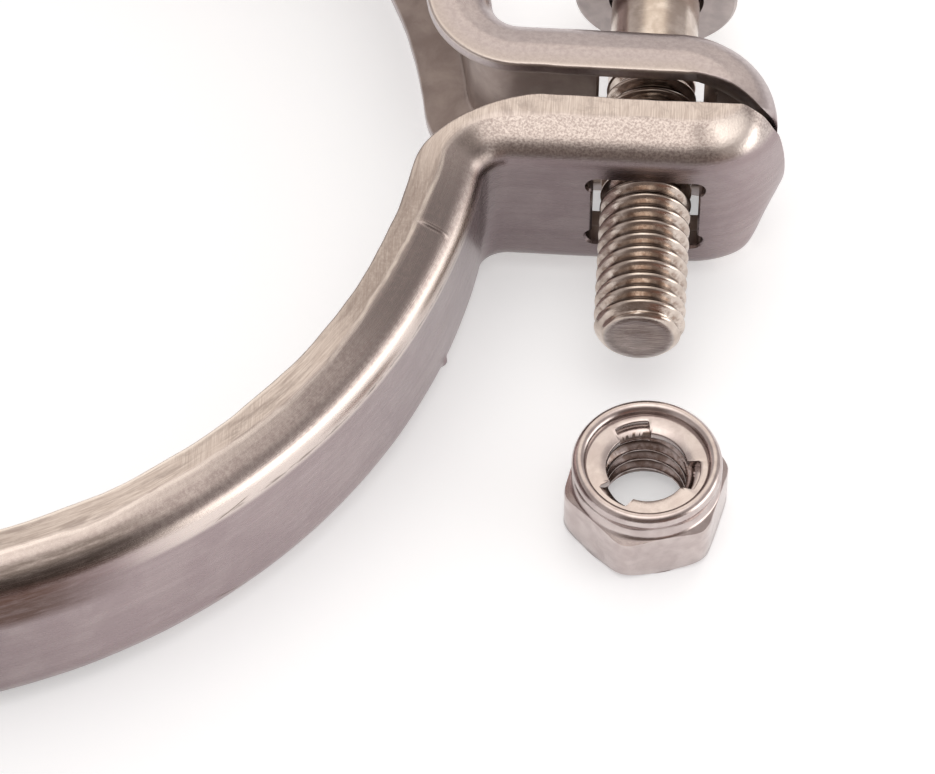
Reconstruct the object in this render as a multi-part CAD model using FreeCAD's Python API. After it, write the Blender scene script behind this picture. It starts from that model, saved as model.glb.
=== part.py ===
import FreeCAD, Part
import math
import os

Vector = FreeCAD.Vector

# All lengths are in millimetres, angles in degrees.
# The origin is the ring's centre, +Z is the ring's axis and the lugs point to +X.

# Sheet section of both half-bands
sheet_thickness = 2.0
rim_radius = 53.5
channel_depth = 5.8
leg_slope = 20.0
shoulder_radius = 2.8
shoulder_steps = 4
web_flat_half = 5.8
facet_width = 2.12

# Lugs
rim_gap = 3.0
root_radius = 2.5
bolt_reach = 13.4
tip_radius = 8.9
near_tip_start = 3.7
far_tip_start = 2.2
tip_meeting_y = -1.6
tip_clearance = 0.3
rim_round_start = 3.0
near_rim_drop = 1.0
root_trim_depth = 1.1
root_trim_heading = 126.0
root_trim_run = 4.0
root_trim_overshoot = 0.1

# Square bolt hole with a relieved corner at each end of its sides
hole_clearance = 0.63
relief_radius = 0.9
relief_reach = 0.5

# Bolt
thread_radius = 3.97
bolt_length = 38.1
bolt_stickout = 13.2
point_radius = 2.67
point_length = 1.3
head_flats = 12.7
head_height = 5.4
head_face_radius = 6.1
head_face_height = 0.4

# Washer
washer_radius = 7.15
washer_thickness = 1.6
washer_clearance = 0.23
washer_edge = 0.25

# Rear hinge
pin_radius = 2.4
pin_clearance = 0.05
pin_head_radius = 3.5
pin_head_height = 1.2
pin_head_edge = 0.6
knuckle_wrap = 285.0
knuckle_gap = 0.2
middle_knuckle_length = 3.8
rear_half_gap = 5.0

# Locknut, taken off and standing on the table beside the bolt
nut_shift = 1.3
nut_distance = 11.8
nut_turn = 16.3
nut_flats = 13.0
nut_height = 8.0
nut_hex_top = 5.2
nut_bore_radius = 3.4
nut_countersink = 0.8
nut_foot_edge = 0.2
collar_radius = 6.5
collar_step = 0.05
collar_neck_radius = 6.2
collar_neck_height = 6.4
lip_radius = 5.2
lip_steps = 5
ring_thickness = 0.9
ring_radius = 5.6
ring_tab_radius = 3.5
ring_notch_radius = 4.6
ring_notch_angle = 42.0
ring_first_notch = 110.0
ring_seat_height = 6.2
chamfer_slope = 30.0

# How far a cutter reaches past what it cuts
cutter_margin = 1.0


def on_leg(depth, offset):
    """Height of a leg's face at a depth behind the web, for an offset from the shoulder's centre."""
    slope = math.radians(leg_slope)
    start_depth = shoulder_radius - offset * math.sin(slope)
    start_height = web_flat_half + offset * math.cos(slope)
    return start_height + (depth - start_depth) * math.tan(slope)


# Values that follow from the sizes above; the rims are ground flat over the facet's width
facet_depth = channel_depth - facet_width
ground_half_height = on_leg(facet_depth, shoulder_radius)
web_radius = rim_radius + channel_depth
bolt_x = web_radius + bolt_reach
lug_web_y = channel_depth + rim_gap / 2
root_y = lug_web_y + root_radius
root_x = math.sqrt((web_radius + root_radius) ** 2 - root_y ** 2)
root_angle = math.degrees(math.atan2(root_y, root_x))
hole_half = thread_radius + hole_clearance
knuckle_bore = pin_radius + pin_clearance
knuckle_radius = knuckle_bore + sheet_thickness
hinge_x = -(web_radius + knuckle_bore)
bolt_end_y = -(lug_web_y + bolt_stickout)
head_seat_y = bolt_end_y + bolt_length
table_z = -ground_half_height
nut_x = bolt_x + nut_shift
nut_y = bolt_end_y - nut_distance


def shoulder_point(offset, angle):
    """A point of the shoulder as (depth, height), for an angle from the inward direction."""
    turn = math.radians(angle)
    return (shoulder_radius + offset * math.cos(turn), web_flat_half + offset * math.sin(turn))


def channel_section(place):
    """Closed section of the channel; place turns (depth, height) into a point."""
    inner_radius = shoulder_radius - sheet_thickness
    leg_angle = 90 + leg_slope
    upper = []
    for i in range(shoulder_steps + 1):
        upper.append(shoulder_point(shoulder_radius, 180 + (leg_angle - 180) * i / shoulder_steps))
    upper += [
        (facet_depth, ground_half_height),
        (channel_depth, ground_half_height),
        (channel_depth, on_leg(channel_depth, inner_radius)),
        shoulder_point(inner_radius, leg_angle),
        (sheet_thickness, web_flat_half),
    ]
    lower = [(depth, -height) for depth, height in reversed(upper)]
    outline = [place(depth, height) for depth, height in upper + lower + upper[:1]]
    return Part.Face(Part.makePolygon(outline))


def turned_section(centre, radius_at, direction, sweep):
    """The section carried round a vertical axis, starting in the given direction."""
    heading = math.radians(direction)
    outward = Vector(math.cos(heading), math.sin(heading), 0)
    face = channel_section(lambda depth, height: centre + outward * radius_at(depth) + Vector(0, 0, height))
    return face.revolve(centre, Vector(0, 0, 1), sweep)


def plan_prism(edges):
    """A tall cutter that stands on a closed plan outline."""
    height = 2 * (ground_half_height + cutter_margin)
    face = Part.Face(Part.Wire(edges))
    return face.extrude(Vector(0, 0, height)).translated(Vector(0, 0, -height / 2))


def rim_cutter(tip_x, tip_end, rounded):
    """What is trimmed off the lug's rims: all beyond the rim line, and beyond the tip's end face."""
    far_x = tip_x + tip_radius + cutter_margin
    high_y = tip_radius
    rim_y = -rim_gap / 2
    low = Vector(tip_x - cutter_margin, rim_y, 0)
    if rounded:
        start = Vector(bolt_x + rim_round_start, rim_y, 0)
        rise = tip_end - rim_y
        run = math.sqrt(tip_radius ** 2 - (tip_radius - rise) ** 2)
        end = Vector(start.x + run, tip_end, 0)
        half_turn = math.asin(run / tip_radius) / 2
        middle = start + Vector(tip_radius * math.sin(half_turn), tip_radius * (1 - math.cos(half_turn)), 0)
        line = [Part.makeLine(low, start), Part.Arc(start, middle, end).toShape()]
    else:
        start = Vector(tip_x + tip_radius / 2, rim_y, 0)
        end = Vector(start.x + near_rim_drop, tip_end, 0)
        line = [Part.makeLine(low, start), Part.makeLine(start, end)]
    corners = [end, Vector(far_x, tip_end, 0), Vector(far_x, high_y, 0), Vector(low.x, high_y, 0), low]
    line += [Part.makeLine(a, b) for a, b in zip(corners, corners[1:])]
    return plan_prism(line)


def bolt_hole_cutter():
    """Square hole along Y with a round relief at each corner."""
    depth = 3 * sheet_thickness
    low_y = -lug_web_y - sheet_thickness
    size = 2 * hole_half
    cutter = Part.makeBox(size, depth, size, Vector(bolt_x - hole_half, low_y, -hole_half))
    side = hole_half + relief_reach - relief_radius
    up = hole_half - relief_radius
    for sx in (-1, 1):
        for sz in (-1, 1):
            centre = Vector(bolt_x + sx * side, low_y, sz * up)
            cutter = cutter.fuse(Part.makeCylinder(relief_radius, depth, centre, Vector(0, 1, 0)))
    return cutter


def knuckle(low_z, high_z):
    """A tongue of the web rolled outwards round the hinge pin."""
    base = Vector(hinge_x, 0, low_z)
    height = high_z - low_z
    up = Vector(0, 0, 1)
    outer = Part.makeCylinder(knuckle_radius, height, base, up, knuckle_wrap)
    return outer.cut(Part.makeCylinder(knuckle_bore, height, base, up))


def rear_cutters(tongues):
    """Boxes that cut the rear end back to its gap, apart from the tongues."""
    levels = [-ground_half_height - cutter_margin]
    for low_z, high_z in tongues:
        levels += [low_z, high_z]
    levels.append(ground_half_height + cutter_margin)
    reach = channel_depth + 2 * cutter_margin
    boxes = []
    for low_z, high_z in zip(levels[::2], levels[1::2]):
        corner = Vector(-web_radius - cutter_margin, -rear_half_gap, low_z)
        boxes.append(Part.makeBox(reach, rear_half_gap + cutter_margin, high_z - low_z, corner))
    return boxes


def root_trimmer(root):
    """What is ground off the rims where they turn from the ring into the lug."""
    heading = math.radians(root_trim_heading)
    reach = root_radius + channel_depth - root_trim_depth
    ring_reach = rim_radius - root_trim_overshoot
    ring_turn = math.radians(root_angle)
    start = Vector(ring_reach * math.cos(ring_turn), -ring_reach * math.sin(ring_turn), 0)
    middle = root + Vector(reach * math.cos(heading), reach * math.sin(heading), 0)
    end = Vector(root_x + root_trim_run, root_trim_overshoot - rim_gap / 2, 0)
    low_x = start.x - cutter_margin
    high_y = end.y + cutter_margin
    corners = [end, Vector(end.x, high_y, 0), Vector(low_x, high_y, 0), Vector(low_x, start.y, 0), start]
    line = [Part.Arc(start, middle, end).toShape()]
    line += [Part.makeLine(a, b) for a, b in zip(corners, corners[1:])]
    return plan_prism(line)


def half_band(tip_start, tip_end, rounded, tongues):
    """One pressing, modelled on the -Y side: half ring, lug, bolt hole and hinge knuckles."""
    centre = Vector(0, 0, 0)
    tip_x = bolt_x + tip_start
    root = Vector(root_x, -root_y, 0)
    tip = Vector(tip_x, tip_radius - lug_web_y, 0)
    ring_piece = turned_section(centre, lambda depth: web_radius - depth, 180, 180 - root_angle)
    root_piece = turned_section(root, lambda depth: root_radius + depth, 180 - root_angle, root_angle - 90)
    flat = channel_section(lambda depth, height: Vector(root_x, depth - lug_web_y, height))
    flat_piece = flat.extrude(Vector(tip_x - root_x, 0, 0))
    tip_piece = turned_section(tip, lambda depth: tip_radius - depth, -90, 90)
    band = ring_piece.multiFuse([root_piece, flat_piece, tip_piece])
    band = band.cut(rim_cutter(tip_x, tip_end, rounded))
    band = band.cut(bolt_hole_cutter())
    if not rounded:
        band = band.cut(root_trimmer(root))
    for box in rear_cutters(tongues):
        band = band.cut(box)
    for low_z, high_z in tongues:
        band = band.fuse(knuckle(low_z, high_z))
    return band.removeSplitter()


def hex_prism(flats, height):
    """Hexagonal prism along Z with its first corner on the X axis."""
    corner = flats / math.sqrt(3)
    points = []
    for i in range(7):
        turn = math.radians(60 * i)
        points.append(Vector(corner * math.cos(turn), corner * math.sin(turn), 0))
    return Part.Face(Part.makePolygon(points)).extrude(Vector(0, 0, height))


def turned_solid(points):
    """Solid of revolution about Z from (radius, height) points."""
    outline = [Vector(radius, 0, height) for radius, height in points]
    face = Part.Face(Part.makePolygon(outline + outline[:1]))
    return face.revolve(Vector(0, 0, 0), Vector(0, 0, 1), 360)


def make_hinge_pin():
    """Plain pin with both ends peened over the outer knuckles."""
    half = web_flat_half
    full = half + pin_head_height
    crown = pin_head_radius - pin_head_edge
    points = [
        (0, -full),
        (crown, -full),
        (pin_head_radius, -half - pin_head_edge),
        (pin_head_radius, -half),
        (pin_radius, -half),
        (pin_radius, half),
        (pin_head_radius, half),
        (pin_head_radius, half + pin_head_edge),
        (crown, full),
        (0, full),
    ]
    return turned_solid(points).translated(Vector(hinge_x, 0, 0))


def along_bolt(shape, seat_y):
    """Turns a shape from +Z to +Y and carries it to a place on the bolt's axis."""
    turned = shape.rotated(Vector(0, 0, 0), Vector(1, 0, 0), -90)
    return turned.translated(Vector(bolt_x, seat_y, 0))


def make_bolt():
    """Hex bolt: chamfered head with a washer face, full shank and a chamfered point."""
    corner = head_flats / math.sqrt(3)
    reach = corner + cutter_margin
    drop = (reach - head_flats / 2) * math.tan(math.radians(chamfer_slope))
    envelope = turned_solid([
        (0, 0),
        (reach, 0),
        (reach, head_height - drop),
        (head_flats / 2, head_height),
        (0, head_height),
    ])
    head = hex_prism(head_flats, head_height).common(envelope)
    face_ring = Part.makeCylinder(reach, head_face_height).cut(Part.makeCylinder(head_face_radius, head_face_height))
    head = head.cut(face_ring)
    shank = turned_solid([
        (0, 0),
        (thread_radius, 0),
        (thread_radius, -(bolt_length - point_length)),
        (point_radius, -bolt_length),
        (0, -bolt_length),
    ])
    return along_bolt(head.fuse(shank).removeSplitter(), head_seat_y)


def make_washer():
    """Flat washer that sits against the bolt's head."""
    bore = thread_radius + washer_clearance
    points = [
        (bore, -washer_thickness),
        (washer_radius - washer_edge, -washer_thickness),
        (washer_radius, washer_edge - washer_thickness),
        (washer_radius, -washer_edge),
        (washer_radius - washer_edge, 0),
        (bore, 0),
    ]
    return along_bolt(turned_solid(points), head_seat_y)


def on_table(shape):
    """Turns and moves a nut piece to where the nut stands."""
    turned = shape.rotated(Vector(0, 0, 0), Vector(0, 0, 1), nut_turn)
    return turned.translated(Vector(nut_x, nut_y, table_z))


def make_nut_body():
    """Hex nut with a rolled collar and a seat for the lock ring inside it."""
    ring_top = ring_seat_height + ring_thickness
    corner = nut_flats / math.sqrt(3)
    reach = corner + cutter_margin
    slope = math.tan(math.radians(chamfer_slope))
    shoulder = collar_radius - collar_step
    top_drop = (reach - shoulder) * slope
    foot = nut_flats / 2 + nut_foot_edge
    foot_rise = (reach - foot) * slope
    bore = nut_bore_radius

    lip_middle = (lip_radius + collar_radius) / 2
    lip_half = (collar_radius - lip_radius) / 2
    lip_rise = nut_height - ring_top
    points = [
        (bore, nut_countersink),
        (bore, ring_seat_height),
        (ring_radius, ring_seat_height),
        (ring_radius, ring_top),
    ]
    for i in range(lip_steps + 1):
        turn = math.pi * (1 - i / lip_steps)
        points.append((lip_middle + lip_half * math.cos(turn), ring_top + lip_rise * math.sin(turn)))
    points += [
        (collar_neck_radius, collar_neck_height),
        (shoulder, nut_hex_top),
        (reach, nut_hex_top - top_drop),
        (reach, foot_rise),
        (foot, 0),
        (bore + nut_countersink, 0),
    ]
    turned = turned_solid(points)
    hexagon = hex_prism(nut_flats, nut_hex_top)
    collar = Part.makeCylinder(collar_radius + cutter_margin, nut_height, Vector(0, 0, nut_hex_top))
    body = turned.common(hexagon.fuse(collar)).removeSplitter()
    return on_table(body)


def make_lock_ring():
    """Flat ring with three tabs that grip the thread, between three notches."""
    base = Vector(0, 0, ring_seat_height)
    up = Vector(0, 0, 1)
    ring = Part.makeCylinder(ring_radius, ring_thickness, base, up)
    ring = ring.cut(Part.makeCylinder(ring_tab_radius, ring_thickness, base, up))
    for i in range(3):
        notch = Part.makeCylinder(ring_notch_radius, ring_thickness, base, up, ring_notch_angle)
        turn = ring_first_notch + 120 * i - ring_notch_angle / 2 - nut_turn
        ring = ring.cut(notch.rotated(Vector(0, 0, 0), up, turn))
    return on_table(ring)


def across_split(shape):
    """Mirrors a shape from the -Y side to the +Y side."""
    return shape.mirror(Vector(0, 0, 0), Vector(0, 1, 0))


def build():
    middle_half = middle_knuckle_length / 2
    outer_start = middle_half + knuckle_gap
    outer_tongues = [(-web_flat_half, -outer_start), (outer_start, web_flat_half)]
    middle_tongue = [(-middle_half, middle_half)]
    near_end = tip_meeting_y - tip_clearance / 2
    far_end = -(tip_meeting_y + tip_clearance / 2)
    return {
        "near_half_band": half_band(near_tip_start, near_end, False, outer_tongues),
        "far_half_band": across_split(half_band(far_tip_start, far_end, True, middle_tongue)),
        "hinge_pin": make_hinge_pin(),
        "bolt": make_bolt(),
        "bolt_washer": make_washer(),
        "nut_body": make_nut_body(),
        "nut_lock_ring": make_lock_ring(),
    }


os.makedirs("parts", exist_ok=True)
for node, shape in build().items():
    shape = shape.Solids[0]
    shape.exportStep("parts/" + node + ".step")
    box = shape.BoundBox
    print(node, shape.ShapeType, len(shape.Solids), shape.isValid(), round(shape.Volume, 2),
          [round(v, 2) for v in (box.XMin, box.XMax, box.YMin, box.YMax, box.ZMin, box.ZMax)])
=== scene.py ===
import math

import bmesh
import bpy
import numpy as np
from mathutils import Matrix, Vector, noise


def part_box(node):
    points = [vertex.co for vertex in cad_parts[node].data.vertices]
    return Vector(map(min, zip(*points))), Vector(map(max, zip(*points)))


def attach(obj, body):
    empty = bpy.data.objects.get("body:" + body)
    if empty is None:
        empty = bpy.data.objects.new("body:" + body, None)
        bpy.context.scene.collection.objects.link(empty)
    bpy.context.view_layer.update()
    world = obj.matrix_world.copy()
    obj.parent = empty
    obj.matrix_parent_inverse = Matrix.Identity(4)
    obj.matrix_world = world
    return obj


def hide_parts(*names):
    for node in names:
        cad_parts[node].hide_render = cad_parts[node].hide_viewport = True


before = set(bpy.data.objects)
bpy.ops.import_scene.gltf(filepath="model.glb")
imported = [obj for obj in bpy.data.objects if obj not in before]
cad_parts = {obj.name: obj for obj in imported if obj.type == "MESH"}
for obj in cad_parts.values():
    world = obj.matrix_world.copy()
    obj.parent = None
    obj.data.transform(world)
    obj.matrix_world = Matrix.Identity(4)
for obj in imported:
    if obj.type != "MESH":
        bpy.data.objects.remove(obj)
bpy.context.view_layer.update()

# Lengths below are in millimetres unless a name says otherwise, and MM turns them into metres.
MM = 0.001

# Points nearer than this are welded
WELD = 0.004

# Sizes read from the frame
near_low, near_high = [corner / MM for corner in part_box("near_half_band")]
bolt_low, bolt_high = [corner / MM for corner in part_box("bolt")]
nut_low, nut_high = [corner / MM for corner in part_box("nut_body")]
ring_low, ring_high = [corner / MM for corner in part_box("nut_lock_ring")]
WEB_RADIUS = -near_low.y
HALF_HEIGHT = near_high.z
BOLT_X = (bolt_low.x + bolt_high.x) / 2
BOLT_END_Y = bolt_low.y
NUT_X = (nut_low.x + nut_high.x) / 2
NUT_Y = (nut_low.y + nut_high.y) / 2
TABLE_Z = near_low.z

# Sheet section and lug, as in the solids; EDGE is how far their sharp edges are eased here
SHEET = 2.0
CHANNEL_DEPTH = 5.8
LEG_SLOPE = math.radians(20)
SHOULDER_RADIUS = 2.8
WEB_FLAT_HALF = 5.8
RIM_GAP = 3.0
ROOT_RADIUS = 2.5
TIP_RADIUS = 8.9
EDGE = 0.22
LUG_WEB_Y = CHANNEL_DEPTH + RIM_GAP / 2
ROOT_Y = LUG_WEB_Y + ROOT_RADIUS
ROOT_X = math.sqrt((WEB_RADIUS + ROOT_RADIUS) ** 2 - ROOT_Y ** 2)
ROOT_ANGLE = math.atan2(ROOT_Y, ROOT_X)
REAR_GAP = 5.0
TRIM_DEPTH = 1.1
TRIM_HEADING = math.radians(126)
TRIM_RUN = 4.0
TRIM_OVERSHOOT = 0.1
NEAR_TIP_START = 3.7
FAR_TIP_START = 2.2
RIM_ROUND_START = 3.0
NEAR_RIM_DROP = 0.25
NEAR_RIM_STEP = (80.4, 82.2)
HOLE_HALF = 4.6
RELIEF_RADIUS = 0.9
RELIEF_REACH = 0.5

# Plan y at which each tip ends, for a half that lies on the -Y side, and the section's depth there
NEAR_TIP_END = -1.75
FAR_TIP_END = 1.45
TIP_LAST_DEPTH = 0.06

# The lugs' tips draw in by these shares of their height over the last part of their length, and their corners
# round back by these lengths; the far lug's upper half stays as drawn
TIP_DRAW_ABOVE = 0.22
TIP_DRAW_BELOW = 0.42
TIP_DRAW_RUN = 5.5
TIP_ROUND_ABOVE = 0.6
TIP_ROUND_BELOW = 1.1

# The rims turn from the ring into the trimmed root over about this length
TRIM_EASE = 1.3

# Hinge, bolt and nut sizes, as in the solids, with turns in degrees; the near half's two knuckles start at
# NEAR_TONGUE above and below the middle, and the far half's one ends at FAR_TONGUE
PIN_RADIUS = 2.4
PIN_CLEARANCE = 0.05
KNUCKLE_WRAP = 285.0
NEAR_TONGUE = 2.1
FAR_TONGUE = 1.9
THREAD_RADIUS = 3.97
SHANK_RADIUS = 3.86
THREAD_LENGTH = 25.0
POINT_RADIUS = 2.67
POINT_LENGTH = 1.3
HEAD_SEAT_Y = 17.6
HEAD_FACE_RADIUS = 6.1
HEAD_FACE_HEIGHT = 0.4
HEAD_FLATS = 12.7
HEAD_HEIGHT = 5.4
NUT_TURN = 16.3
NUT_FLATS = 13.0
NUT_HEIGHT = 8.0
NUT_HEX_TOP = 5.2
NUT_COLLAR = 6.5
NUT_NECK = 6.2
NUT_LIP = 5.2
NUT_LIP_BASE = 7.15
NUT_MINOR = 3.4
RING_TAB = 3.5
RING_NOTCH = 4.6
RING_NOTCH_HALF = 21.0
RING_FIRST_NOTCH = 110.0

# Threads, whose crests and roots are flat over these shares of the pitch
THREAD_PITCH = 25.4 / 18
THREAD_DEPTH = 0.72
NUT_THREAD_DEPTH = 0.62
CREST_SHARE = 0.12
ROOT_SHARE = 0.1

# Waves of the pressing, as (length, height), on the rims and on the faces, where they are lower on the facets from
# this height on, and the two halves' seeds for them
RIM_WAVES = ((7.0, 0.16), (2.2, 0.05))
FACE_WAVES = ((5.0, 0.028), (1.7, 0.007))
FACET_LEVEL = (8.8, 9.05)
NEAR_SEED = 3.0
FAR_SEED = 8.0

# Raised marks of the near half: run along the band, place across it, half length, half width, and height, which
# is negative on the lower side
NEAR_MARKS = ((169.4, 11.4, 1.9, 0.2, 0.18), (166.5, 6.8, 0.8, 0.3, -0.28))

# Places along a half, in millimetres from the hinge: the stained root, and the step from the ring to the lug
ROOT_WINDOW = (156.0, 176.0, 5.0)
LUG_STEP = (175.0, 183.0)

# Steps of the near web's tone along it: darker by the rear and on the lug, lighter between them and at the tip
WEB_TONES = ((106.0, 128.0, 0.85, 1.12), (146.0, 166.0, 1.0, 0.88), (176.0, 183.0, 1.0, 0.70),
             (199.0, 206.0, 1.0, 1.5))

# Painted light and wear of the near half: place across the sheet and along it (from, to, softness), whether the upper
# side alone has it, how noise breaks it up (from, to, least and greatest share), and its colour. On the ring these are
# a painted highlight along the shoulder, a painted dark brown reflection, painted shade on the shoulder and leg, and a
# broken dark line.
RING_PAINTED_LIGHT_AND_WEAR = (((5.5, 8.3, 0.4), (128.0, 174.0, 5.0), True, (0.3, 0.6, 1.0, 1.0), (0.72, 0.63, 0.585)),
             ((3.0, 7.9, 0.8), (75.0, 122.0, 6.0), True, (0.3, 0.6, 0.7, 1.0), (0.115, 0.068, 0.056)),
             ((7.9, 11.1, 0.5), (60.0, 128.0, 6.0), False, (0.3, 0.6, 0.5, 0.9), (0.13, 0.105, 0.092)),
             ((5.85, 6.15, 0.14), (135.0, 173.0, 4.0), True, (0.42, 0.6, 0.0, 0.8), (0.15, 0.105, 0.085)))

# Painted light where the press shaped the sheet: painted shade in the crease where the ring turns into the lug, and
# painted shade in a dip and a painted highlight by the tip
PRESS_SHADE_AND_HIGHLIGHT = (((6.4, 12.2, 0.8), (178.6, 180.9, 0.9), False, (0.3, 0.6, 0.35, 0.75), (0.12, 0.095, 0.085)),
              ((9.0, 12.4, 0.7), (200.0, 201.6, 0.7), False, (0.3, 0.6, 0.45, 0.45), (0.17, 0.14, 0.13)),
              ((8.2, 12.2, 0.9), (202.6, 207.4, 0.9), False, (0.3, 0.6, 0.9, 0.9), (0.86, 0.78, 0.73)))

# A scratch that climbs the shoulder: where along the band it starts, and its slope
SCRATCH_START = 134.2
SCRATCH_SLOPE = 0.215

# Floor and light
FLOOR_HALF = 1500.0
FLOOR_GLOW = 0.36

# Light of the surround by height in degrees; a ramp holds numbers up to 1, so they are divided by the peak there
LIGHT_PEAK = 4.0
SKY = ((-90, (0.6, 0.6, 0.6)), (0, (0.6, 0.56, 0.55)), (30, (0.6, 0.55, 0.53)), (46, (0.5, 0.46, 0.45)),
       (56, (0.52, 0.48, 0.46)), (64, (1.0, 0.93, 0.88)), (70, (1.5, 1.42, 1.34)), (78, (1.95, 1.86, 1.76)),
       (90, (2.4, 2.3, 2.17)))

# Soft cards: heading from the front towards +X, half width, height, half height, softness and light
CARDS = ((83, 27, 0, 24, 9, (2.9, 2.82, 2.7)),
         (180, 34, 40, 22, 12, (1.4, 1.31, 1.19)),
         (12, 42, 18, 32, 12, (0.2, 0.16, 0.145)),
         (32, 12, 2, 14, 8, (0.26, 0.14, 0.105)))

# Camera: azimuth, elevation and roll, the picture's scale, and the place it looks at, along its right and up
CAMERA_ANGLES = (1.8, 55.2, 1.4)
CAMERA_DISTANCE = 1000.0
PICTURE_WIDTH = 935
PIXELS_PER_MM = 11.46
TARGET_RIGHT = 56.82
TARGET_UP = -24.63


def smooth(value, low, high):
    """0 below low, 1 above high and a soft step between them."""
    t = np.clip((value - low) / (high - low), 0, 1)
    return t * t * (3 - 2 * t)


def waves(x, y, z, sizes, seed):
    """Sum of smooth noises, one for each (length, height) of sizes."""
    total = 0
    for number, (length, height) in enumerate(sizes):
        turn = seed + number
        offset = Vector((turn * 17.3, turn * -9.1, turn * 5.7))
        points = np.column_stack(np.broadcast_arrays(x, y, z)) / length
        total = total + np.array([noise.noise(Vector(p) + offset) for p in points]) * height
    return total


def linked_mesh(name, points, faces):
    """A mesh object in the scene, from points in millimetres."""
    mesh = bpy.data.meshes.new(name)
    mesh.from_pydata([tuple(p) for p in np.asarray(points) * MM], [], faces)
    obj = bpy.data.objects.new(name, mesh)
    bpy.context.scene.collection.objects.link(obj)
    return obj


def mesh_piece(name, points, faces, body):
    """A mesh that rides on a body."""
    obj = linked_mesh(name, points, faces)
    obj.data.validate()
    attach(obj, body)
    return obj


def grid_faces(rows, columns, close_rows=False):
    """Quads between closed rows of points, and between the last and the first row too if close_rows is set."""
    faces = []
    for i in range(rows if close_rows else rows - 1):
        here, ahead = i * columns, (i + 1) % rows * columns
        for j in range(columns):
            beside = (j + 1) % columns
            faces.append((here + j, here + beside, ahead + beside, ahead + j))
    return faces


def capped_faces(rows, columns):
    """Quads between closed rows of points, with a face over the first and the last row."""
    last = (rows - 1) * columns
    return grid_faces(rows, columns) + [tuple(range(columns)), tuple(range(last, last + columns))]


def tidy(obj, sharp_degrees=40):
    """Welds points that meet, turns the faces outwards and shades the mesh smooth."""
    work = bmesh.new()
    work.from_mesh(obj.data)
    bmesh.ops.remove_doubles(work, verts=work.verts, dist=WELD * MM)
    bmesh.ops.dissolve_degenerate(work, edges=work.edges, dist=WELD * MM / 4)
    bmesh.ops.recalc_face_normals(work, faces=work.faces)
    work.to_mesh(obj.data)
    work.free()
    obj.data.polygons.foreach_set("use_smooth", [True] * len(obj.data.polygons))
    obj.data.set_sharp_from_angle(angle=math.radians(sharp_degrees))
    obj.data.update()


def vertex_values(mesh, key):
    """The places or normals of a mesh's points, one row each."""
    values = np.empty(len(mesh.vertices) * 3)
    mesh.vertices.foreach_get(key, values)
    return values.reshape(-1, 3)


def store(mesh, name, values):
    """Keeps a number for each point, which the materials read."""
    mesh.attributes.new(name, "FLOAT", "POINT").data.foreach_set("value", values.astype(np.float32))


# Section of the sheet

def outer_profile(web_steps=9, shoulder_steps=16, leg_steps=4, facet_steps=8):
    """Outer face of the upper half section as (depth, height), from the web's middle to the rim."""
    points = [(0.0, WEB_FLAT_HALF * i / web_steps) for i in range(web_steps)]
    leg_angle = math.pi / 2 + LEG_SLOPE
    for i in range(shoulder_steps + 1):
        turn = math.pi + (leg_angle - math.pi) * i / shoulder_steps
        points.append((SHOULDER_RADIUS * (1 + math.cos(turn)), WEB_FLAT_HALF + SHOULDER_RADIUS * math.sin(turn)))
    start_depth, start_height = points[-1]
    facet_depth = start_depth + (HALF_HEIGHT - start_height) / math.tan(LEG_SLOPE)
    for share in (i / leg_steps for i in range(1, leg_steps + 1)):
        points.append((start_depth + (facet_depth - start_depth) * share,
                       start_height + (HALF_HEIGHT - start_height) * share))
    for i in range(1, facet_steps + 1):
        points.append((facet_depth + (CHANNEL_DEPTH - facet_depth) * i / facet_steps, HALF_HEIGHT))
    return np.array(points), facet_depth


def inner_profile(leg_steps=5, bend_steps=6, web_steps=4):
    """Inner face of the upper half section as (depth, height), from the rim to the web's middle.

    With it comes the part that runs down the leg and round the bend.
    """
    radius = SHOULDER_RADIUS - SHEET
    leg_angle = math.pi / 2 + LEG_SLOPE
    bend = []
    for i in range(bend_steps + 1):
        turn = leg_angle + (math.pi - leg_angle) * i / bend_steps
        bend.append((SHOULDER_RADIUS + radius * math.cos(turn), WEB_FLAT_HALF + radius * math.sin(turn)))
    height = bend[0][1] + (CHANNEL_DEPTH - bend[0][0]) * math.tan(LEG_SLOPE)
    leg = [(CHANNEL_DEPTH + (bend[0][0] - CHANNEL_DEPTH) * i / leg_steps,
            height + (bend[0][1] - height) * i / leg_steps) for i in range(leg_steps)]
    web = [(SHEET, WEB_FLAT_HALF * (1 - i / web_steps)) for i in range(1, web_steps + 1)]
    return np.array(leg + bend + web), np.array(leg + bend)


OUTER, FACET_DEPTH = outer_profile()
INNER, INNER_LEG = inner_profile()


def rising(profile):
    """Depth and height of the part of a profile whose depth grows, for looking a height up."""
    depth, height = profile[:, 0], profile[:, 1]
    order = np.argsort(depth, kind="stable")
    return depth[order], height[order]


def height_at(profile, depth):
    """Height of a profile at a depth."""
    return float(np.interp(depth, *rising(profile)))


def ended(profile, depth, height):
    """Points of a profile, of which those past a depth are moved to its end there."""
    return [(depth, height) if point[0] > depth else tuple(point) for point in profile]


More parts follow.
